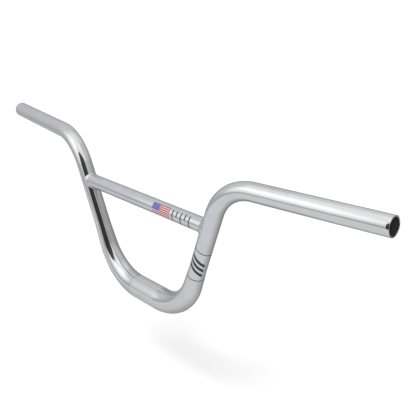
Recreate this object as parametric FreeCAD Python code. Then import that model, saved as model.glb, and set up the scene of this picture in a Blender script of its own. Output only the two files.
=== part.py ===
import FreeCAD, Part
import math
import os

# A handlebar for a small-wheeled race bicycle: two steel tubes, coped, welded and chrome plated.
# The main bar is one tube, thick where the stem clamps it, that tapers through the two low bends
# and up the legs, then turns out and back into the grips. The crossbar braces the legs.
# The origin is the centre of the stem clamp. +X runs along the bar to the rider's left,
# +Y points back to the rider and +Z up the rise. Millimetres and degrees.

# Main bar: stem clamp, taper and tube
clamp_diameter = 31.8
clamp_length = 50.0
leg_taper_length = 28.5
grip_diameter = 22.2
wall = 1.5
end_chamfer = 0.35

# Main bar: how it is bent, on the tube's centre line; rise and width are to the centres of the open ends
rise = 197.0
width = 724.0
low_bend_radius = 75.0
leg_angle = 67.5
top_bend_radius = 65.0
upsweep = 1.0
backsweep = 6.0

# Crossbar, its weld beads and the vent holes that its ends cover
crossbar_height = 134.0
crossbar_diameter = 19.05
crossbar_wall = 1.2
vent_diameter = 6.0
weld_on_leg = 1.5
weld_on_crossbar = 2.2
weld_bevel = 1.2

# Rings that the tapered low bend is lofted through, and how far a cut runs past what it cuts
bend_rings = 7
cut_past = 2.0

Vector = FreeCAD.Vector
middle = Vector(0, 0, 0)
bar_way = Vector(1, 0, 0)


def along(point, direction, distance):
    return point.add(Vector(direction).multiply(distance))


# Pieces that are alike on both sides are made on the rider's left and mirrored.
def mirrored(shape):
    return shape.mirror(middle, bar_way)


# The centre line of one half: straight clamp, low bend, leg, top bend, straight grip.
# The leg's and the grip's lengths follow from the rise, the width and the bends between them.
clamp_half = clamp_length / 2
clamp_radius = clamp_diameter / 2
grip_radius = grip_diameter / 2
turn_up = math.radians(leg_angle)
up = math.radians(upsweep)
back = math.radians(backsweep)
leg_way = Vector(math.cos(turn_up), 0, math.sin(turn_up))
grip_way = Vector(math.cos(up) * math.cos(back), math.cos(up) * math.sin(back), math.sin(up))
turn_out = leg_way.getAngle(grip_way)
low_tangent = low_bend_radius * math.tan(turn_up / 2)
top_tangent = top_bend_radius * math.tan(turn_out / 2)

reach = width / 2 - clamp_half - low_tangent
spread = leg_way.x * grip_way.z - leg_way.z * grip_way.x
leg_between_corners = (reach * grip_way.z - rise * grip_way.x) / spread
grip_from_corner = (rise * leg_way.x - reach * leg_way.z) / spread
leg_length = leg_between_corners - low_tangent - top_tangent
grip_length = grip_from_corner - top_tangent

low_centre = Vector(clamp_half, 0, low_bend_radius)
leg_foot = along(Vector(clamp_half + low_tangent, 0, 0), leg_way, low_tangent)
taper_end = along(leg_foot, leg_way, leg_taper_length)
leg_head = along(leg_foot, leg_way, leg_length)
bend_axis = leg_way.cross(grip_way).normalize()
top_centre = along(leg_head, bend_axis.cross(leg_way), top_bend_radius)
grip_start = along(along(leg_head, leg_way, top_tangent), grip_way, top_tangent)
grip_end = along(grip_start, grip_way, grip_length)

# The taper is even along the centre line: through the low bend, then on up the leg.
low_arc = low_bend_radius * turn_up
foot_radius = clamp_radius - (clamp_radius - grip_radius) * low_arc / (low_arc + leg_taper_length)


# A ring of four quarters round the low bend, part of the way through it, turned about the bend's centre.
def bend_ring(part, inset):
    radius = clamp_radius + (foot_radius - clamp_radius) * part - inset
    start = Vector(clamp_half, 0, 0)
    ring = Part.Wire([Part.makeCircle(radius, start, bar_way, 90 * turn, 90 * turn + 90) for turn in range(4)])
    ring.rotate(low_centre, Vector(0, -1, 0), leg_angle * part)
    return ring


# The main bar as one solid rod, drawn in from its outside by inset, its grips longer by past.
def bent_rod(inset, past):
    clamp = Part.makeCylinder(clamp_radius - inset, clamp_length, Vector(-clamp_half, 0, 0), bar_way)
    rings = [bend_ring(step / (bend_rings - 1), inset) for step in range(bend_rings)]
    low_bend = Part.makeLoft(rings, True, False, False, 3)
    taper = Part.makeCone(foot_radius - inset, grip_radius - inset, leg_taper_length, leg_foot, leg_way)
    leg = Part.makeCylinder(grip_radius - inset, leg_length - leg_taper_length, taper_end, leg_way)
    disc = Part.Face(Part.Wire([Part.makeCircle(grip_radius - inset, leg_head, leg_way)]))
    top_bend = disc.revolve(top_centre, bend_axis, math.degrees(turn_out))
    grip = Part.makeCylinder(grip_radius - inset, grip_length + past, grip_start, grip_way)
    half = [low_bend, taper, leg, top_bend, grip]
    other_half = [mirrored(piece) for piece in half]
    return clamp.multiFuse(half + other_half).removeSplitter()


# Where the crossbar's centre line meets the left leg's, and long rods along both from there.
joint = along(leg_foot, leg_way, (crossbar_height - leg_foot.z) / leg_way.z)
crossbar_radius = crossbar_diameter / 2


def leg_rod(radius):
    end = along(joint, leg_way, -crossbar_diameter * 2)
    return Part.makeCylinder(radius, crossbar_diameter * 4, end, leg_way)


def cross_rod(radius):
    return Part.makeCylinder(radius, joint.x * 2, Vector(-joint.x, 0, crossbar_height), bar_way)


# Main bar: the rod, bored through, its open ends chamfered, with vent holes in the legs' inner sides.
main_bar = bent_rod(0, 0).cut(bent_rod(wall, cut_past))
tip = along(grip_end, grip_way, -end_chamfer)
chamfer = Part.makeCylinder(grip_radius + cut_past, end_chamfer + cut_past, tip, grip_way)
kept_tip = Part.makeCone(grip_radius, grip_radius - end_chamfer, end_chamfer, tip, grip_way)
chamfer = chamfer.cut(kept_tip)
vent = Part.makeCylinder(vent_diameter / 2, grip_diameter, Vector(joint.x - grip_diameter, 0, joint.z), bar_way)
main_bar = main_bar.cut([chamfer, mirrored(chamfer), vent, mirrored(vent)])

# Crossbar: a tube between the legs' centre lines, its two ends coped to sit on the legs.
crossbar = cross_rod(crossbar_radius).cut(cross_rod(crossbar_radius - crossbar_wall))
crossbar = crossbar.cut([leg_rod(grip_radius), mirrored(leg_rod(grip_radius))])

# Weld beads: a saddle ring in the corner round each coped end, spread over the leg and along
# the crossbar, with its ridge bevelled to a flat fillet.
bead = leg_rod(grip_radius + weld_on_crossbar).common(cross_rod(crossbar_radius + weld_on_leg))
ridge = [edge for edge in bead.Edges if edge.Curve.TypeId == "Part::GeomBSplineCurve"]
bead = bead.makeChamfer(weld_bevel, ridge)
bead = bead.cut([leg_rod(grip_radius), cross_rod(crossbar_radius)])

nodes = {
    "main_bar": main_bar,
    "crossbar": crossbar,
    "left_weld": bead,
    "right_weld": mirrored(bead),
}
os.makedirs("parts", exist_ok=True)
for name, shape in nodes.items():
    shape.exportStep("parts/" + name + ".step")
    print(name, "valid" if shape.isValid() else "NOT VALID", len(shape.Solids), "solid", round(shape.Volume, 1), "mm3")
print("straight leg", round(leg_length, 2), "straight grip", round(grip_length, 2))
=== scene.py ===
# A handlebar for a small-wheeled race bicycle, in polished chrome: one bent and tapered main bar,
# a crossbar welded between its legs, two weld beads and the print on the tubes.
# Metres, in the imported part's frame: +X to the rider's left, +Y back to the rider, +Z up the rise.
import math

import bmesh
import bpy
import numpy as np
from mathutils import Matrix, Vector


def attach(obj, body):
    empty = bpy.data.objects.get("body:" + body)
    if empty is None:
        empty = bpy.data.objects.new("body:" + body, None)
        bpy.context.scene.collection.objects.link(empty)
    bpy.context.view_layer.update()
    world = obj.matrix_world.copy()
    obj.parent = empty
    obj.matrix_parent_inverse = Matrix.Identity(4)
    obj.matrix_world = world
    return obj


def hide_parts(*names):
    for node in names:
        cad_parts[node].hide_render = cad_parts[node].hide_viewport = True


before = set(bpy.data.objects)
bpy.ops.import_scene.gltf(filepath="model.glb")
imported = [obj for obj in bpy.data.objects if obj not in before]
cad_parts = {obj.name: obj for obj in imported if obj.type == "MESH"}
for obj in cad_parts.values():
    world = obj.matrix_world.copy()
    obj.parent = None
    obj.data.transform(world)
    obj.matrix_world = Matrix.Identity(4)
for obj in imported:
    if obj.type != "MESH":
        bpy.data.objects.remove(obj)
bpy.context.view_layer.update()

# Main bar: one steel tube, thick where the stem clamps it, tapering through the low bends to grip size.
# It is bent cold in four places, cut square at the ends, polished lengthwise and chrome plated. The clamp
# section is left satin so that it holds in the stem, and the bore is bare steel.
clamp_radius = 0.0159
grip_radius = 0.0111
tube_wall = 0.0015
lip_radius = 0.00035
lip_steps = 5
lip_flat_share = 0.4
clamp_half = 0.025
low_bend_radius = 0.075
leg_angle = math.radians(67.5)
leg_taper_length = 0.0285
top_bend_radius = 0.065
upsweep = math.radians(1.0)
backsweep = math.radians(6.0)
bar_rise = 0.197
bar_half_width = 0.362
ring_points = 96
bend_spacing = 0.001
straight_spacing = 0.003
bore_every = 4
chrome_bright = (0.61, 0.612, 0.62, 1.0)
chrome_dull = (0.575, 0.577, 0.582, 1.0)
polish_bump = 0.5
# Each noise: its scale, its detail and how rough that detail is.
polish_line_noise = (2600.0, 3.0, 0.5)
polish_line_stretch = (1.0, 1.0, 0.03)
polish_line_depth = 0.000002
polish_line_range = (0.4, 0.7)
polish_line_roughness = 0.012
haze_noise = (60.0, 5.0, 0.6)
haze_tint_range = (0.35, 0.7)
haze_roughness_range = (0.3, 0.75)
haze_least_roughness = 0.018
haze_most_roughness = 0.045
wave_noise = (55.0, 1.0, 0.5)
wave_stretch = (1.0, 1.0, 0.4)
wave_depth = 0.00005
satin_bright = (0.635, 0.638, 0.652, 1.0)
satin_dull = (0.58, 0.582, 0.593, 1.0)
satin_metal_share = 0.66
satin_bump = 0.3
satin_grain_noise = (2400.0, 3.0, 0.6)
satin_grain_depth = 0.00002
satin_cloud_noise = (90.0, 4.0, 0.5)
satin_cloud_range = (0.3, 0.7)
satin_least_roughness = 0.24
satin_most_roughness = 0.29
bore_dark = (0.058, 0.049, 0.043, 1.0)
bore_light = (0.16, 0.135, 0.118, 1.0)
bore_bump = 0.4
bore_blotch_noise = (320.0, 6.0, 0.65)
bore_blotch_depth = 0.0001
bore_least_roughness = 0.5
bore_most_roughness = 0.8
plating_reach_in = 0.0015
plating_past_mouth = 0.001
plating_ragged = 0.002


def unit(vector):
    return vector / np.linalg.norm(vector)


def straight_stretch(start, end, spacing):
    """Centres and directions along a straight, without its last point."""
    count = max(1, round(float(np.linalg.norm(end - start)) / spacing))
    share = np.arange(count)[:, None] / count
    return start + share * (end - start), np.repeat([unit(end - start)], count, axis=0)


def bent_stretch(start, way_in, way_out, radius, spacing):
    """Centres and directions round a bend without its last point, then that point."""
    angle = math.acos(float(way_in @ way_out))
    inward = unit(way_out - (way_out @ way_in) * way_in)
    count = max(1, round(radius * angle / spacing))
    turn = np.arange(count + 1)[:, None] * angle / count
    centres = start + radius * (np.sin(turn) * way_in + (1 - np.cos(turn)) * inward)
    ways = np.cos(turn) * way_in + np.sin(turn) * inward
    return centres[:-1], ways[:-1], centres[-1]


def carried_normals(ways, first):
    """A normal for each direction, carried along the line without twisting about it."""
    normals = [unit(first - (first @ ways[0]) * ways[0])]
    for way in ways[1:]:
        normals.append(unit(normals[-1] - (normals[-1] @ way) * way))
    return np.array(normals)


def add_object(name, data):
    made = bpy.data.objects.new(name, data)
    bpy.context.scene.collection.objects.link(made)
    return made


def add_mesh(name, points, faces, materials, face_materials, smooth=True):
    """A mesh object in the scene from points and faces."""
    mesh = bpy.data.meshes.new(name)
    mesh.from_pydata([tuple(point) for point in points], [], faces)
    for material in materials:
        mesh.materials.append(material)
    mesh.polygons.foreach_set("material_index", face_materials)
    mesh.polygons.foreach_set("use_smooth", [smooth] * len(faces))
    mesh.update()
    return add_object(name, mesh)


def closed_skin(name, rings, straight, materials, ring_materials):
    """A closed skin from rings of points, each joined to the next and the last to the first.
    The attribute straight holds each point's place on the tube as if it had never been bent."""
    ring_count, point_count = rings.shape[:2]
    faces = []
    face_materials = []
    for ring in range(ring_count):
        here = ring * point_count
        there = (ring + 1) % ring_count * point_count
        for point in range(point_count):
            following = (point + 1) % point_count
            faces.append((here + point, here + following, there + following, there + point))
            face_materials.append(int(ring_materials[ring]))
    made = add_mesh(name, rings.reshape(-1, 3), faces, materials, face_materials)
    place = made.data.attributes.new("straight", "FLOAT_VECTOR", "POINT")
    place.data.foreach_set("vector", straight.reshape(-1).astype(np.float32))
    return made


def add_node(tree, kind, inputs, **settings):
    """A node whose inputs are either linked from a socket or set to a constant."""
    node = tree.nodes.new(kind)
    for name, value in settings.items():
        setattr(node, name, value)
    for name, value in inputs.items():
        if isinstance(value, bpy.types.NodeSocket):
            tree.links.new(value, node.inputs[name])
        else:
            node.inputs[name].default_value = value
    return node


def new_material(name):
    material = bpy.data.materials.new(name)
    material.use_nodes = True
    material.node_tree.nodes.clear()
    return material


def place_on_tube(tree):
    return add_node(tree, "ShaderNodeAttribute", {}, attribute_name="straight").outputs["Vector"]


def stretched(tree, place, stretch):
    node = add_node(tree, "ShaderNodeVectorMath", {0: place, 1: stretch}, operation="MULTIPLY")
    return node.outputs["Vector"]


def mottled(tree, place, noise):
    """Soft noise through a material, from nought to one."""
    scale, detail, roughness = noise
    node = add_node(tree, "ShaderNodeTexNoise",
                    {"Vector": place, "Scale": scale, "Detail": detail, "Roughness": roughness})
    return node.outputs["Fac"]


def mapped(tree, value, low, high, low_to, high_to, kind="LINEAR"):
    """A value taken from one range to another and held at its ends."""
    node = add_node(tree, "ShaderNodeMapRange",
                    {"Value": value, "From Min": low, "From Max": high, "To Min": low_to, "To Max": high_to},
                    interpolation_type=kind)
    return node.outputs["Result"]


def combined(tree, operation, first, second):
    return add_node(tree, "ShaderNodeMath", {0: first, 1: second}, operation=operation).outputs["Value"]


def tinted(tree, share, first, second):
    """The first colour where share is nought, the second where it is one."""
    return add_node(tree, "ShaderNodeMix", {0: share, 6: first, 7: second}, data_type="RGBA").outputs[2]


def bumped(tree, height, strength, depth, below=None):
    """A normal shaped by a height, over another normal if one is given."""
    inputs = {"Height": height, "Strength": strength, "Distance": depth}
    if below is not None:
        inputs["Normal"] = below
    return add_node(tree, "ShaderNodeBump", inputs).outputs["Normal"]


def end_in_principled(tree, inputs):
    shader = add_node(tree, "ShaderNodeBsdfPrincipled", inputs)
    add_node(tree, "ShaderNodeOutputMaterial", {"Surface": shader.outputs["BSDF"]})


def polish_group():
    """Polishing marks on plated tube: fine lines along it, cloudy haze and a slight waviness."""
    group = bpy.data.node_groups.new("polish_marks", "ShaderNodeTree")
    for socket, kind in (("Place", "Vector"), ("Bright", "Color"), ("Dull", "Color")):
        group.interface.new_socket(socket, in_out="INPUT", socket_type="NodeSocket" + kind)
    for socket, kind in (("Tint", "Color"), ("Roughness", "Float"), ("Lines", "Float"), ("Waves", "Float")):
        group.interface.new_socket(socket, in_out="OUTPUT", socket_type="NodeSocket" + kind)
    given = add_node(group, "NodeGroupInput", {})
    place = given.outputs["Place"]
    lines = mottled(group, stretched(group, place, polish_line_stretch), polish_line_noise)
    haze = mottled(group, place, haze_noise)
    waves = mottled(group, stretched(group, place, wave_stretch), wave_noise)
    tint_share = mapped(group, haze, *haze_tint_range, 0.0, 1.0)
    tint = tinted(group, tint_share, given.outputs["Bright"], given.outputs["Dull"])
    haze_roughness = mapped(group, haze, *haze_roughness_range, haze_least_roughness, haze_most_roughness)
    line_roughness = mapped(group, lines, *polish_line_range, 0.0, polish_line_roughness)
    roughness = combined(group, "ADD", haze_roughness, line_roughness)
    add_node(group, "NodeGroupOutput",
             {"Tint": tint, "Roughness": roughness, "Lines": lines, "Waves": waves})
    return group


polish_marks = polish_group()


def chrome_material(name, bright, dull):
    """Polished chrome plate on a tube."""
    material = new_material(name)
    tree = material.node_tree
    marks = add_node(tree, "ShaderNodeGroup",
                     {"Place": place_on_tube(tree), "Bright": bright, "Dull": dull}, node_tree=polish_marks)
    wavy = bumped(tree, marks.outputs["Waves"], polish_bump, wave_depth)
    lined = bumped(tree, marks.outputs["Lines"], polish_bump, polish_line_depth, wavy)
    end_in_principled(tree, {"Base Color": marks.outputs["Tint"], "Roughness": marks.outputs["Roughness"],
                             "Metallic": 1.0, "Normal": lined})
    return material


def satin_material(name, bright, dull):
    """Plate over a blasted surface, which grips in the stem: an even satin with a fine grain."""
    material = new_material(name)
    tree = material.node_tree
    place = place_on_tube(tree)
    grain = mottled(tree, place, satin_grain_noise)
    clouds = mottled(tree, place, satin_cloud_noise)
    roughness = mapped(tree, clouds, *satin_cloud_range, satin_least_roughness, satin_most_roughness)
    end_in_principled(tree, {"Base Color": tinted(tree, grain, dull, bright), "Roughness": roughness,
                             "Metallic": satin_metal_share,
                             "Normal": bumped(tree, grain, satin_bump, satin_grain_depth)})
    return material


def bore_material(name, dark, light, half_length):
    """Bare steel inside the tube, brown with oxide, with some plating on it just inside the mouth."""
    material = new_material(name)
    tree = material.node_tree
    place = place_on_tube(tree)
    blotches = mottled(tree, place, bore_blotch_noise)
    along = add_node(tree, "ShaderNodeSeparateXYZ", {"Vector": place}).outputs["Z"]
    distance = add_node(tree, "ShaderNodeMath", {0: along}, operation="ABSOLUTE").outputs["Value"]
    ragged = add_node(tree, "ShaderNodeMath", {0: blotches, 1: plating_ragged, 2: distance},
                      operation="MULTIPLY_ADD").outputs["Value"]
    plated = mapped(tree, ragged, half_length - plating_reach_in, half_length + plating_past_mouth,
                    0.0, 1.0)
    roughness = mapped(tree, blotches, 0.0, 1.0, bore_least_roughness, bore_most_roughness)
    end_in_principled(tree, {"Base Color": tinted(tree, blotches, dark, light), "Roughness": roughness,
                             "Metallic": plated,
                             "Normal": bumped(tree, blotches, bore_bump, bore_blotch_depth)})
    return material


clamp_way = np.array([1.0, 0.0, 0.0])
leg_way = np.array([math.cos(leg_angle), 0.0, math.sin(leg_angle)])
grip_way = np.array([math.cos(upsweep) * math.cos(backsweep), math.cos(upsweep) * math.sin(backsweep),
                     math.sin(upsweep)])
clamp_edge = clamp_half * clamp_way
low_points, low_ways, leg_foot = bent_stretch(clamp_edge, clamp_way, leg_way,
                                              low_bend_radius, bend_spacing)
top_points, top_ways, top_shift = bent_stretch(np.zeros(3), leg_way, grip_way,
                                               top_bend_radius, bend_spacing)
span = np.array([bar_half_width, 0.0, bar_rise]) - leg_foot - top_shift
leg_length, grip_length = np.linalg.solve(
    np.array([[leg_way[0], grip_way[0]], [leg_way[2], grip_way[2]]]), span[[0, 2]])
leg_top = leg_foot + leg_length * leg_way
grip_start = leg_top + top_shift
lip_start = grip_start + grip_length * grip_way - lip_radius * grip_way
clamp_points, clamp_ways = straight_stretch(np.zeros(3), clamp_edge, straight_spacing)
leg_points, leg_ways = straight_stretch(leg_foot, leg_top, straight_spacing)
grip_points, grip_ways = straight_stretch(grip_start, lip_start, straight_spacing)
half_points = np.vstack([clamp_points, low_points, leg_points, leg_top + top_points, grip_points,
                         [lip_start]])
half_ways = np.vstack([clamp_ways, low_ways, leg_ways, top_ways, grip_ways, [grip_way]])
bar_points = np.vstack([half_points[:0:-1] * [-1, 1, 1], half_points])
bar_ways = np.vstack([half_ways[:0:-1] * [1, -1, -1], half_ways])
steps = np.linalg.norm(np.diff(half_points, axis=0), axis=1)
half_along = np.concatenate([[0.0], np.cumsum(steps)])
bar_along = np.concatenate([-half_along[:0:-1], half_along])
leg_foot_along = clamp_half + low_bend_radius * leg_angle
taper_end_along = leg_foot_along + leg_taper_length


def bar_radius(along):
    """Outside radius of the main bar at a distance along it from the clamp's middle."""
    return np.interp(np.abs(along), [clamp_half, taper_end_along], [clamp_radius, grip_radius])


bar_normals = carried_normals(bar_ways, np.array([0.0, 0.0, 1.0]))
bar_sides = np.cross(bar_ways, bar_normals)
around = np.arange(ring_points) * 2 * math.pi / ring_points
lip_turn = np.linspace(0.0, math.pi / 2, lip_steps)[1:]
lip_flat = lip_flat_share * tube_wall
mouth_radius = grip_radius - tube_wall
lip_out = np.concatenate([lip_radius * np.sin(lip_turn), [lip_radius] * 2, lip_radius * np.cos(lip_turn)])
lip_in = np.concatenate([grip_radius - lip_radius * (1 - np.cos(lip_turn)),
                         [grip_radius - lip_flat, mouth_radius + lip_flat],
                         mouth_radius + lip_radius * (1 - np.sin(lip_turn))])
last = len(bar_points) - 1
bore_order = np.unique(np.concatenate([np.arange(0, last, bore_every), [last]]))[::-1]
order = np.concatenate([np.arange(last + 1), [last] * len(lip_out), bore_order, [0] * len(lip_out)])
outward_shift = np.concatenate([np.zeros(last + 1), lip_out, np.zeros(len(bore_order)), -lip_out[::-1]])
skin_radius = np.concatenate([bar_radius(bar_along), lip_in, bar_radius(bar_along[bore_order]) - tube_wall,
                              lip_in[::-1]])
skin_centres = bar_points[order] + outward_shift[:, None] * bar_ways[order]
skin_outward = (np.cos(around)[None, :, None] * bar_normals[order][:, None]
                + np.sin(around)[None, :, None] * bar_sides[order][:, None])
skin_points = skin_centres[:, None] + skin_radius[:, None, None] * skin_outward
skin_straight = np.empty(skin_points.shape)
skin_straight[..., 0] = skin_radius[:, None] * np.cos(around)
skin_straight[..., 1] = skin_radius[:, None] * np.sin(around)
skin_straight[..., 2] = (bar_along[order] + outward_shift)[:, None]
bore_start = last + 1 + len(lip_out)
in_clamp = np.abs(bar_along[:-1] + bar_along[1:]) / 2 < clamp_half
skin_materials = np.zeros(len(order), int)
skin_materials[bore_start:bore_start + len(bore_order) - 1] = 1
skin_materials[:last][in_clamp] = 2
main_chrome = chrome_material("main_bar_chrome", chrome_bright, chrome_dull)
main_bore = bore_material("main_bar_bore", bore_dark, bore_light, half_along[-1])
main_satin = satin_material("main_bar_satin", satin_bright, satin_dull)
main_bar = closed_skin("main_bar_tube", skin_points, skin_straight, [main_chrome, main_bore, main_satin],
                       skin_materials)
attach(main_bar, "root")
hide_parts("main_bar")

# Crossbar: a thinner straight steel tube, coped at both ends to sit on the legs, where it is welded on.
# It is polished and plated with the main bar.
crossbar_radius = 0.009525
crossbar_wall = 0.0012
crossbar_height = 0.134
crossbar_points = 96
crossbar_spacing = 0.003
cross_bright = (0.615, 0.624, 0.648, 1.0)
cross_dull = (0.58, 0.587, 0.605, 1.0)
joint_x = float(leg_foot[0] + (crossbar_height - leg_foot[2]) / math.tan(leg_angle))


def joint_place(angle, from_crossbar, from_leg):
    """A point by its angle round the crossbar and its distances from the crossbar's and the leg's axes."""
    y = from_crossbar * np.cos(angle)
    rise = from_crossbar * np.sin(angle)
    reach = np.sqrt(from_leg ** 2 - y ** 2)
    x = joint_x + (rise * math.cos(leg_angle) - reach) / math.sin(leg_angle)
    return np.stack([x, y, crossbar_height + rise], axis=-1)


cross_angles = np.arange(crossbar_points) * 2 * math.pi / crossbar_points
cross_outside = joint_place(cross_angles, crossbar_radius, grip_radius)
cross_inside = joint_place(cross_angles, crossbar_radius - crossbar_wall, grip_radius)
cross_count = round(2 * joint_x / crossbar_spacing)
cross_share = np.linspace(-1.0, 1.0, cross_count)
cross_rings = []
for edge, shares in ((cross_outside, cross_share), (cross_inside, cross_share[::-1])):
    for share in shares:
        cross_rings.append(edge * [share, 1, 1])
cross_rings = np.array(cross_rings)
cross_straight = cross_rings[..., [1, 2, 0]] - np.array([0.0, crossbar_height, 0.0])
cross_chrome = chrome_material("crossbar_chrome", cross_bright, cross_dull)
crossbar = closed_skin("crossbar_tube", cross_rings, cross_straight, [cross_chrome], [0] * len(cross_rings))
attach(crossbar, "root")
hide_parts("crossbar")

# Weld beads: a small bead of weld metal fills the corner all round each end of the crossbar.
# It was laid in short overlapping drops, then dressed and plated, so its ripples are soft.
bead_on_leg = 0.0015
bead_on_crossbar = 0.0022
bead_root = 0.0002
bead_roundness = 1.25
bead_points = 246
bead_steps = 10
bead_drops = 41
bead_lean = 1.6
bead_ripple = 0.05
bead_bright = (0.60, 0.603, 0.612, 1.0)
bead_dull = (0.50, 0.50, 0.505, 1.0)
bead_bump = 0.4
bead_haze_noise = (700.0, 4.0, 0.5)
bead_haze_depth = 0.00003
bead_least_roughness = 0.08
bead_most_roughness = 0.2


def bead_material(name, bright, dull):
    """Plated weld metal, mottled a little brighter and duller, and a little hazy in places."""
    material = new_material(name)
    tree = material.node_tree
    haze = mottled(tree, place_on_tube(tree), bead_haze_noise)
    roughness = mapped(tree, haze, 0.0, 1.0, bead_least_roughness, bead_most_roughness)
    end_in_principled(tree, {"Base Color": tinted(tree, haze, bright, dull), "Roughness": roughness,
                             "Metallic": 1.0, "Normal": bumped(tree, haze, bead_bump, bead_haze_depth)})
    return material


bead_angles = np.arange(bead_points) * 2 * math.pi / bead_points
bead_turn = np.linspace(0.0, math.pi / 2, bead_steps)
bead_rings = [joint_place(bead_angles, crossbar_radius - bead_root, grip_radius - bead_root)]
for turn in bead_turn:
    drop = bead_angles * bead_drops + bead_lean * math.sin(2 * turn)
    swell = 1 + bead_ripple * math.sin(2 * turn) * np.cos(drop)
    beside_crossbar = bead_on_leg * math.cos(turn) ** (2 / bead_roundness) * swell
    beside_leg = bead_on_crossbar * math.sin(turn) ** (2 / bead_roundness) * swell
    bead_rings.append(joint_place(bead_angles, crossbar_radius + beside_crossbar, grip_radius + beside_leg))
bead_rings = np.array(bead_rings)
bead_chrome = bead_material("weld_bead_chrome", bead_bright, bead_dull)
for bead_name, bead_node, bead_side in (("left_weld_bead", "left_weld", 1),
                                        ("right_weld_bead", "right_weld", -1)):
    side_rings = bead_rings[::bead_side] * [bead_side, 1, 1]
    bead = closed_skin(bead_name, side_rings, side_rings, [bead_chrome], [0] * len(side_rings))
    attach(bead, "root")
    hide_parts(bead_node)

# Flag on the crossbar: stripes and a blue field of small stars, a thin printed film stuck round the
# tube's front. It stands upright to someone in front of the bar.
flag_start = 0.031
flag_end = 0.065
flag_top = math.radians(61.0)
flag_bottom = math.radians(-41.0)
field_end = 0.0455
red_share = 0.62
stripe_count = 13
field_stripes = 7
star_columns = 6
star_rows = 5
star_tips = 5
star_radius = 0.00045
star_inner_share = 0.45
star_lift = 0.00003
film_lift = 0.00006
film_sink = 0.00003
film_step_along = 0.004
film_step_angle = 0.05
flag_red = (0.50, 0.032, 0.048, 1.0)
flag_red_faded = (0.5, 0.09, 0.1, 1.0)
flag_white = (0.84, 0.83, 0.82, 1.0)
flag_white_faded = (0.7, 0.69, 0.68, 1.0)
flag_blue = (0.115, 0.12, 0.42, 1.0)
flag_blue_faded = (0.08, 0.09, 0.26, 1.0)
ink_bump = 0.2
ink_mottle_noise = (900.0, 3.0, 0.5)
ink_mottle_range = (0.4, 0.8)
ink_mottle_depth = 0.00001
ink_most_faded = 0.35
ink_least_roughness = 0.15
ink_most_roughness = 0.3


def ink_material(name, colour, faded):
    """Printed film: one ink, a little uneven, under a smooth clear top."""
    material = new_material(name)
    tree = material.node_tree
    place = add_node(tree, "ShaderNodeTexCoord", {}).outputs["Object"]
    mottle = mottled(tree, place, ink_mottle_noise)
    faded_share = mapped(tree, mottle, *ink_mottle_range, 0.0, ink_most_faded)
    roughness = mapped(tree, mottle, 0.0, 1.0, ink_least_roughness, ink_most_roughness)
    end_in_principled(tree, {"Base Color": tinted(tree, faded_share, colour, faded), "Roughness": roughness,
                             "Normal": bumped(tree, mottle, ink_bump, ink_mottle_depth)})
    return material


def film_patch(shell, corners, lift, place):
    """Faces of a four-cornered field that follows the tube, and the rims of its top and bottom."""
    over_length = abs(corners[1][0] - corners[0][0])
    over_turn = abs(corners[1][1] - corners[0][1])
    up_turn = max(abs(corners[3][1] - corners[0][1]), abs(corners[2][1] - corners[1][1]), over_turn)
    columns = max(1, math.ceil(over_length / film_step_along), math.ceil(over_turn / film_step_angle))
    rows = max(1, math.ceil(up_turn / film_step_angle))
    faces = []
    rims = []
    for height in (lift, -film_sink):
        layer = []
        for row in range(rows + 1):
            up = row / rows
            line = []
            for column in range(columns + 1):
                over = column / columns
                weights = ((1 - over) * (1 - up), over * (1 - up), over * up, (1 - over) * up)
                along = sum(weight * corner[0] for weight, corner in zip(weights, corners))
                angle = sum(weight * corner[1] for weight, corner in zip(weights, corners))
                line.append(shell.verts.new(place(along, angle, height)))
            layer.append(line)
        for row in range(rows):
            for column in range(columns):
                faces.append((layer[row][column], layer[row][column + 1],
                              layer[row + 1][column + 1], layer[row + 1][column]))
        rims.append(layer[0][:-1] + [line[-1] for line in layer[:-1]]
                    + layer[-1][:0:-1] + [line[0] for line in layer[:0:-1]])
    return faces, rims


def film_chip(shell, corners, lift, place):
    """Faces of one small flat field with any number of corners, and the rims of its top and bottom."""
    rims = []
    for height in (lift, -film_sink):
        rims.append([shell.verts.new(place(along, angle, height)) for along, angle in corners])
    return list(rims), rims


def printed_film(name, fields, place, materials):
    """Thin fields of ink on a tube. Each has its corners as (along, angle), its ink and its lift."""
    shell = bmesh.new()
    for corners, ink, lift in fields:
        make_field = film_patch if len(corners) == 4 else film_chip
        faces, rims = make_field(shell, corners, lift, place)
        for here in range(len(rims[0])):
            there = (here + 1) % len(rims[0])
            faces.append((rims[0][here], rims[0][there], rims[1][there], rims[1][here]))
        for face_corners in faces:
            shell.faces.new(face_corners).material_index = ink
    bmesh.ops.recalc_face_normals(shell, faces=shell.faces)
    mesh = bpy.data.meshes.new(name)
    shell.to_mesh(mesh)
    shell.free()
    for material in materials:
        mesh.materials.append(material)
    return add_object(name, mesh)


def on_crossbar(along, angle, height):
    """A point over the crossbar's skin, by its x and its angle up from the front."""
    radius = crossbar_radius + height
    return (along, -radius * math.cos(angle), crossbar_height + radius * math.sin(angle))


def square_corners(start, end, low, high):
    return [(start, low), (end, low), (end, high), (start, high)]


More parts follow.
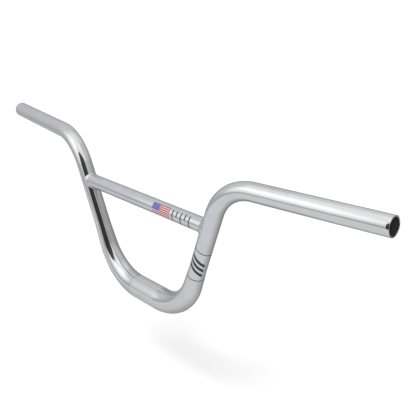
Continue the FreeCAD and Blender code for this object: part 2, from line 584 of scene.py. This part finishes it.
flag_fields = []
red_count = (stripe_count + 1) // 2
stripe_unit = (flag_top - flag_bottom) / (red_count * red_share + (red_count - 1) * (1 - red_share))
stripe_top = flag_top
for stripe in range(stripe_count):
    stripe_height = stripe_unit * (red_share if stripe % 2 == 0 else 1 - red_share)
    stripe_start = field_end if stripe < field_stripes else flag_start
    flag_fields.append((square_corners(stripe_start, flag_end, stripe_top - stripe_height, stripe_top),
                        stripe % 2, film_lift))
    stripe_top -= stripe_height
    if stripe == field_stripes - 1:
        field_bottom = stripe_top
flag_fields.append((square_corners(flag_start, field_end, field_bottom, flag_top), 2, film_lift))
for row in range(star_rows):
    for column in range(star_columns):
        star_along = flag_start + (column + 0.5) * (field_end - flag_start) / star_columns
        star_angle = field_bottom + (row + 0.5) * (flag_top - field_bottom) / star_rows
        star = []
        for point in range(2 * star_tips):
            reach = star_radius if point % 2 == 0 else star_inner_share * star_radius
            turn = math.pi / 2 + point * math.pi / star_tips
            star.append((star_along + reach * math.cos(turn),
                         star_angle + reach * math.sin(turn) / crossbar_radius))
        flag_fields.append((star, 1, film_lift + star_lift))
flag = printed_film("crossbar_flag", flag_fields, on_crossbar,
                    [ink_material("flag_red_ink", flag_red, flag_red_faded),
                     ink_material("flag_white_ink", flag_white, flag_white_faded),
                     ink_material("flag_blue_ink", flag_blue, flag_blue_faded)])
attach(flag, "root")

# Scale on the crossbar: a short row of plain graduation marks beside the flag, long and short by turns.
# They are printed in black on a thin film like the flag's.
scale_start = 0.070
scale_end = 0.103
scale_marks = 5
scale_mark_width = 0.0018
scale_top = math.radians(58.0)
scale_long_end = math.radians(-45.0)
scale_short_end = math.radians(12.0)
print_black = (0.012, 0.012, 0.013, 1.0)
print_black_faded = (0.03, 0.03, 0.032, 1.0)
scale_fields = []
for mark in range(scale_marks):
    mark_along = scale_start + mark * (scale_end - scale_start - scale_mark_width) / (scale_marks - 1)
    mark_low = scale_long_end if mark % 2 == 0 else scale_short_end
    scale_fields.append((square_corners(mark_along, mark_along + scale_mark_width, mark_low, scale_top),
                         0, film_lift))
scale_ink = ink_material("scale_black_ink", print_black, print_black_faded)
scale = printed_film("crossbar_scale", scale_fields, on_crossbar, [scale_ink])
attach(scale, "root")

# Bands on the left leg: a plain pattern printed in black round the outside of the leg, a thin film like
# the flag's. A level ring below and a slanted one above enclose three slanted bars.
band_low = 0.1315
band_high = 0.1777
band_ring_width = 0.0011
upper_ring_slope = 0.0045
band_ring_half = math.radians(115.0)
bar_start_angle = math.radians(-28.0)
bar_end_angle = math.radians(78.0)
bar_count = 3
bar_width = 0.0042
bar_gap = 0.0038
bar_slant = 0.012
bars_above_ring = 0.007
leg_outside = np.array([math.sin(leg_angle), 0.0, -math.cos(leg_angle)])
leg_front = np.array([0.0, -1.0, 0.0])


def on_left_leg(along, angle, height):
    """A point over the leg's skin, by its distance along the bar and its angle from front to outside."""
    centre = leg_foot + (along - leg_foot_along) * leg_way
    outward = math.cos(angle) * leg_front + math.sin(angle) * leg_outside
    return tuple(centre + (bar_radius(along) + height) * outward)


band_fields = []
for ring_low, slope in ((band_low, 0.0), (band_high - band_ring_width, upper_ring_slope)):
    ring_high = ring_low + band_ring_width
    band_fields.append(([(ring_low + slope, -band_ring_half), (ring_high + slope, -band_ring_half),
                         (ring_high - slope, band_ring_half), (ring_low - slope, band_ring_half)],
                        0, film_lift))
for bar in range(bar_count):
    bar_low = band_low + bars_above_ring + bar * (bar_width + bar_gap)
    bar_high = bar_low + bar_width
    band_fields.append(([(bar_low + bar_slant, bar_start_angle), (bar_low, bar_end_angle),
                         (bar_high, bar_end_angle), (bar_high + bar_slant, bar_start_angle)],
                        0, film_lift))
band_ink = ink_material("band_black_ink", print_black, print_black_faded)
bands = printed_film("left_leg_bands", band_fields, on_left_leg, [band_ink])
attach(bands, "root")

# Stage floor: a wide pale tabletop under the bar. Seen directly it is brought up to the white of the
# backdrop; it still takes the bar's soft shadow.
floor_height = -0.11
floor_half = 14.0
floor_pale = (0.82, 0.82, 0.82, 1.0)
floor_paler = (0.84, 0.84, 0.84, 1.0)
floor_mottle_noise = (3.0, 2.0, 0.5)
floor_glow = 0.31


def seen_directly(tree):
    """One for rays from the camera and for those mirrored or passed on, nought for diffuse light."""
    path = add_node(tree, "ShaderNodeLightPath", {})
    first = combined(tree, "ADD", path.outputs["Is Camera Ray"], path.outputs["Is Glossy Ray"])
    both = add_node(tree, "ShaderNodeMath", {0: first, 1: path.outputs["Is Transmission Ray"]},
                    operation="ADD", use_clamp=True)
    return both.outputs["Value"]


def level_sheet(name, half, height, material):
    corners = [(-half, -half, height), (half, -half, height), (half, half, height), (-half, half, height)]
    return add_mesh(name, corners, [(0, 1, 2, 3)], [material], [0], smooth=False)


floor_material = new_material("stage_floor")
floor_tree = floor_material.node_tree
floor_place = add_node(floor_tree, "ShaderNodeTexCoord", {}).outputs["Object"]
floor_mottle = mottled(floor_tree, floor_place, floor_mottle_noise)
floor_tint = tinted(floor_tree, floor_mottle, floor_pale, floor_paler)
floor_paper = add_node(floor_tree, "ShaderNodeBsdfDiffuse", {"Color": floor_tint})
floor_lift = combined(floor_tree, "MULTIPLY", seen_directly(floor_tree), floor_glow)
floor_light = add_node(floor_tree, "ShaderNodeEmission", {"Strength": floor_lift})
floor_sum = add_node(floor_tree, "ShaderNodeAddShader", {0: floor_paper.outputs["BSDF"],
                                                         1: floor_light.outputs["Emission"]})
add_node(floor_tree, "ShaderNodeOutputMaterial", {"Surface": floor_sum.outputs["Shader"]})
floor = level_sheet("stage_floor", floor_half, floor_height, floor_material)

# Stage tent: a white cloth dome round the bar, seen only in the chrome. Lamps shine through it from above
# and from the front, and it is greyer behind. It has a rounded opening for the camera, narrower at the
# top, and a low dark gap at the side where the cloth stops short of the table.
tent_radius = 1.0
tent_middle = 0.1
tent_columns = 192
tent_rows = 96
wall_low_glow = 0.41
wall_high_glow = 0.85
# Each lamp: bearing and rise in degrees, the cosines at which its light starts and is full, and its glow.
top_lamp = (205.0, 80.5, 0.81, 1.0, 0.42)
front_lamp = (204.0, 26.5, 0.805, 0.97, 0.49)
core_lamp = (199.5, 43.0, 0.89, 1.0, 0.28)
wash_lamp = (225.0, 4.0, 0.30, 0.93, 0.28)
fill_lamp = (124.0, 52.0, 0.82, 0.95, 0.30)
side_lamp = (100.0, 52.0, 0.94, 0.992, 0.16)
rear_lamp = (339.0, 56.0, 0.945, 1.0, 0.20)
flank_lamp = (292.0, 37.0, 0.91, 0.985, 0.10)
strip_lamp = (35.0, 30.0, 0.5, 0.7, 0.10)
foot_lamp = (188.0, 0.0, 0.88, 0.985, 1.0)
hem_side = (0.0, 0.0, 0.4, 0.8, 1.0)
# Heights on the tent from its middle, between which a lamp is masked or the hem is shaded.
mask_low = -0.09
mask_high = 0.21
front_low_share = 0.28
wash_low_share = 0.70
foot_low = -0.19
foot_high = -0.09
foot_glow = 0.24
strip_foot_low = 0.38
strip_foot_high = 0.44
strip_head_low = 0.70
strip_head_high = 0.82
hem_low = -0.10
hem_high = 0.06
hem_shade = -0.08
opening_bearing = 147.0
opening_rise = 14.5
opening_half_width = math.radians(31.5)
opening_half_height = math.radians(32.0)
opening_squareness = 1.5
opening_taper = 0.12
opening_soft = 0.06
opening_dark = 0.05
opening_less_dark = 0.11
opening_light_from = -0.2
gap_bearing = 76.0
gap_rise = 0.5
gap_half_width = math.radians(41.0)
gap_half_height = math.radians(7.5)
gap_squareness = 4.0
gap_soft = 0.1
ahead_soft = 0.1
tent_white = (1.0, 1.0, 1.0, 1.0)
tent_cool = (0.985, 1.0, 1.045, 1.0)
cool_way = (-1.0, 0.0, 0.0)
cool_from = 0.60
cool_full = 0.86


def bearing_way(bearing, rise):
    """The direction at a bearing from the rear, turning towards the rider's left, and a rise, in degrees."""
    turn = math.radians(bearing)
    lift = math.radians(rise)
    return (math.sin(turn) * math.cos(lift), math.cos(turn) * math.cos(lift), math.sin(lift))


def eased(tree, value, low, high, low_to, high_to):
    return mapped(tree, value, low, high, low_to, high_to, kind="SMOOTHSTEP")


def towards(tree, place, way):
    node = add_node(tree, "ShaderNodeVectorMath", {0: place, 1: way}, operation="DOT_PRODUCT")
    return node.outputs["Value"]


def seen_only_mirrored(made):
    made.visible_camera = False
    made.visible_diffuse = False
    made.visible_shadow = False
    made.visible_volume_scatter = False


tent_material = new_material("stage_tent")
tent_tree = tent_material.node_tree
tent_place = add_node(tent_tree, "ShaderNodeTexCoord", {}).outputs["Object"]
tent_height = add_node(tent_tree, "ShaderNodeSeparateXYZ", {"Vector": tent_place}).outputs["Z"]


def tent_towards(bearing, rise):
    return towards(tent_tree, tent_place, bearing_way(bearing, rise))


def tent_times(first, second):
    return combined(tent_tree, "MULTIPLY", first, second)


def tent_band(low, high, low_to, high_to):
    return eased(tent_tree, tent_height, low, high, low_to, high_to)


def lamp_patch(bearing, rise, starts, full, glow):
    """A soft round patch of light where a lamp shines through the cloth."""
    return eased(tent_tree, tent_towards(bearing, rise), starts, full, 0.0, glow)


strip_band = tent_times(tent_band(strip_foot_low, strip_foot_high, 0.0, 1.0),
                        tent_band(strip_head_low, strip_head_high, 1.0, 0.0))
cloth_glow = mapped(tent_tree, tent_height, 0.0, 1.0, wall_low_glow, wall_high_glow)
for light in (tent_times(lamp_patch(*front_lamp), tent_band(mask_low, mask_high, front_low_share, 1.0)),
              tent_times(lamp_patch(*wash_lamp), tent_band(mask_low, mask_high, wash_low_share, 1.0)),
              lamp_patch(*top_lamp), lamp_patch(*core_lamp), lamp_patch(*fill_lamp), lamp_patch(*side_lamp),
              lamp_patch(*rear_lamp), lamp_patch(*flank_lamp),
              tent_times(lamp_patch(*foot_lamp), tent_band(foot_low, foot_high, foot_glow, 0.0)),
              tent_times(lamp_patch(*strip_lamp), strip_band),
              tent_times(lamp_patch(*hem_side), tent_band(hem_low, hem_high, hem_shade, 0.0))):
    cloth_glow = combined(tent_tree, "ADD", cloth_glow, light)


def raised(value, power):
    """The square of a value, raised to a power."""
    return combined(tent_tree, "POWER", tent_times(value, value), power)


def tent_share(bearing, rise, half_angle):
    """How far across an opening a place on the tent lies, from nought at its middle to one at its edge."""
    return combined(tent_tree, "DIVIDE", tent_towards(bearing, rise), math.sin(half_angle))


def cut_out(bearing, rise, across, up, soft):
    """One inside an opening with soft edges and nought elsewhere."""
    inside = eased(tent_tree, combined(tent_tree, "ADD", across, up), 1 - soft, 1 + soft, 1.0, 0.0)
    return tent_times(inside, eased(tent_tree, tent_towards(bearing, rise), 0.0, ahead_soft, 0.0, 1.0))


opening_across = tent_share(opening_bearing + 90.0, 0.0, opening_half_width)
opening_up = tent_share(opening_bearing, opening_rise + 90.0, opening_half_height)
opening_narrowing = mapped(tent_tree, opening_up, -1.0, 1.0, 1 - opening_taper, 1 + opening_taper)
opening_mask = cut_out(opening_bearing, opening_rise,
                       raised(tent_times(opening_across, opening_narrowing), opening_squareness),
                       raised(opening_up, opening_squareness), opening_soft)
gap_across = tent_share(gap_bearing + 90.0, 0.0, gap_half_width)
gap_up = tent_share(gap_bearing, gap_rise + 90.0, gap_half_height)
gap_mask = cut_out(gap_bearing, gap_rise, raised(gap_across, gap_squareness),
                   tent_times(gap_up, gap_up), gap_soft)
dark_mask = combined(tent_tree, "MAXIMUM", opening_mask, gap_mask)
dark_glow = eased(tent_tree, opening_up, opening_light_from, 1.0, opening_dark, opening_less_dark)
tent_glow = add_node(tent_tree, "ShaderNodeMix", {0: dark_mask, 2: cloth_glow, 3: dark_glow}).outputs[0]
cool_share = eased(tent_tree, towards(tent_tree, tent_place, cool_way), cool_from, cool_full, 0.0, 1.0)
tent_light = add_node(tent_tree, "ShaderNodeEmission",
                      {"Color": tinted(tent_tree, cool_share, tent_white, tent_cool), "Strength": tent_glow})
add_node(tent_tree, "ShaderNodeOutputMaterial", {"Surface": tent_light.outputs["Emission"]})
tent_mesh = bpy.data.meshes.new("stage_tent")
tent_shape = bmesh.new()
bmesh.ops.create_uvsphere(tent_shape, u_segments=tent_columns, v_segments=tent_rows, radius=tent_radius)
tent_shape.to_mesh(tent_mesh)
tent_shape.free()
tent_mesh.materials.append(tent_material)
tent = add_object("stage_tent", tent_mesh)
tent.location = (0.0, 0.0, tent_middle)
seen_only_mirrored(tent)

# Stage card: the tabletop as the chrome sees it, brighter in front of the bar than behind it, with two
# soft shades under the bar and one cool streak across the front.
card_height = -0.108
card_half = 1.0
card_front_glow = 0.93
card_back_glow = 0.25
card_front_way = bearing_way(168.0, 0.0)
card_full_from = 0.5
# Each shade: its middle, its radius and its depth.
middle_shade = ((0.03, -0.02, card_height), 0.14, 0.20)
right_shade = ((-0.17, -0.08, card_height), 0.22, 0.14)
streak_way = (0.592, -0.806, 0.0)
streak_distance = 0.29
streak_full = 0.015
streak_end = 0.05
card_white = (0.998, 1.0, 1.008, 1.0)
card_cool = (0.99, 1.0, 1.09, 1.0)
card_material = new_material("stage_card")
card_tree = card_material.node_tree
card_place = add_node(card_tree, "ShaderNodeTexCoord", {}).outputs["Object"]
card_spot = add_node(card_tree, "ShaderNodeVectorMath", {0: card_place},
                     operation="NORMALIZE").outputs["Vector"]
card_glow = mapped(card_tree, towards(card_tree, card_spot, card_front_way), -1.0, card_full_from,
                   card_back_glow, card_front_glow)
for shade_place, shade_radius, shade_depth in (middle_shade, right_shade):
    shade_from = add_node(card_tree, "ShaderNodeVectorMath", {0: card_place, 1: shade_place},
                          operation="DISTANCE").outputs["Value"]
    card_shade = eased(card_tree, shade_from, 0.0, shade_radius, shade_depth, 0.0)
    card_glow = combined(card_tree, "SUBTRACT", card_glow, card_shade)
streak_off = combined(card_tree, "SUBTRACT", towards(card_tree, card_place, streak_way), streak_distance)
streak_from = add_node(card_tree, "ShaderNodeMath", {0: streak_off}, operation="ABSOLUTE").outputs["Value"]
streak_share = eased(card_tree, streak_from, streak_full, streak_end, 1.0, 0.0)
card_light = add_node(card_tree, "ShaderNodeEmission",
                      {"Color": tinted(card_tree, streak_share, card_white, card_cool),
                       "Strength": card_glow})
add_node(card_tree, "ShaderNodeOutputMaterial", {"Surface": card_light.outputs["Emission"]})
card = level_sheet("stage_card", card_half, card_height, card_material)
seen_only_mirrored(card)

# Lamp and world: one large soft lamp above the front, and even white light from all round.
# The chrome doesn't mirror the lamp, because the tent stands between them.
lamp_spread = math.radians(32.0)
lamp_energy = 1.15
lamp_place = Vector((-0.35, -0.75, 1.75))
world_white = (1.0, 1.0, 1.0, 1.0)
world_lighting = 0.62
world_seen = 1.0
lamp_data = bpy.data.lights.new("key_lamp", "SUN")
lamp_data.angle = lamp_spread
lamp_data.energy = lamp_energy
lamp = add_object("key_lamp", lamp_data)
lamp_turn = (-lamp_place).to_track_quat("-Z", "Y").to_matrix().to_4x4()
lamp.matrix_world = Matrix.Translation(lamp_place) @ lamp_turn
lamp.visible_glossy = False
world = bpy.data.worlds.new("studio")
bpy.context.scene.world = world
world.use_nodes = True
world_tree = world.node_tree
world_tree.nodes.clear()
world_strength = mapped(world_tree, seen_directly(world_tree), 0.0, 1.0, world_lighting, world_seen)
world_light = add_node(world_tree, "ShaderNodeBackground", {"Color": world_white, "Strength": world_strength})
add_node(world_tree, "ShaderNodeOutputWorld", {"Surface": world_light.outputs["Background"]})

# Camera: at the photograph's angle, in front of the bar, to the rider's left and above it.
# It is slightly rolled, and its distance and lens give the photograph's perspective.
camera_azimuth = math.radians(49.267813)
camera_elevation = math.radians(21.134096)
camera_roll = math.radians(-1.988106)
camera_distance = 0.785154742
camera_target = Vector((0.127954591, 0.0, 0.158571804))
camera_sensor = 36.0
camera_lens = 58.855
camera_back = Vector((math.sin(camera_azimuth) * math.cos(camera_elevation),
                      -math.cos(camera_azimuth) * math.cos(camera_elevation), math.sin(camera_elevation)))
level_right = Vector((math.cos(camera_azimuth), math.sin(camera_azimuth), 0.0))
level_up = camera_back.cross(level_right)
camera_right = level_right * math.cos(camera_roll) + level_up * math.sin(camera_roll)
camera_up = level_up * math.cos(camera_roll) - level_right * math.sin(camera_roll)
camera_data = bpy.data.cameras.new("camera")
camera_data.sensor_width = camera_sensor
camera_data.lens = camera_lens
camera = add_object("camera", camera_data)
camera_turn = Matrix((camera_right, camera_up, camera_back)).transposed().to_4x4()
camera.matrix_world = Matrix.Translation(camera_target + camera_distance * camera_back) @ camera_turn
bpy.context.scene.camera = camera
bpy.context.scene.view_settings.view_transform = "Standard"
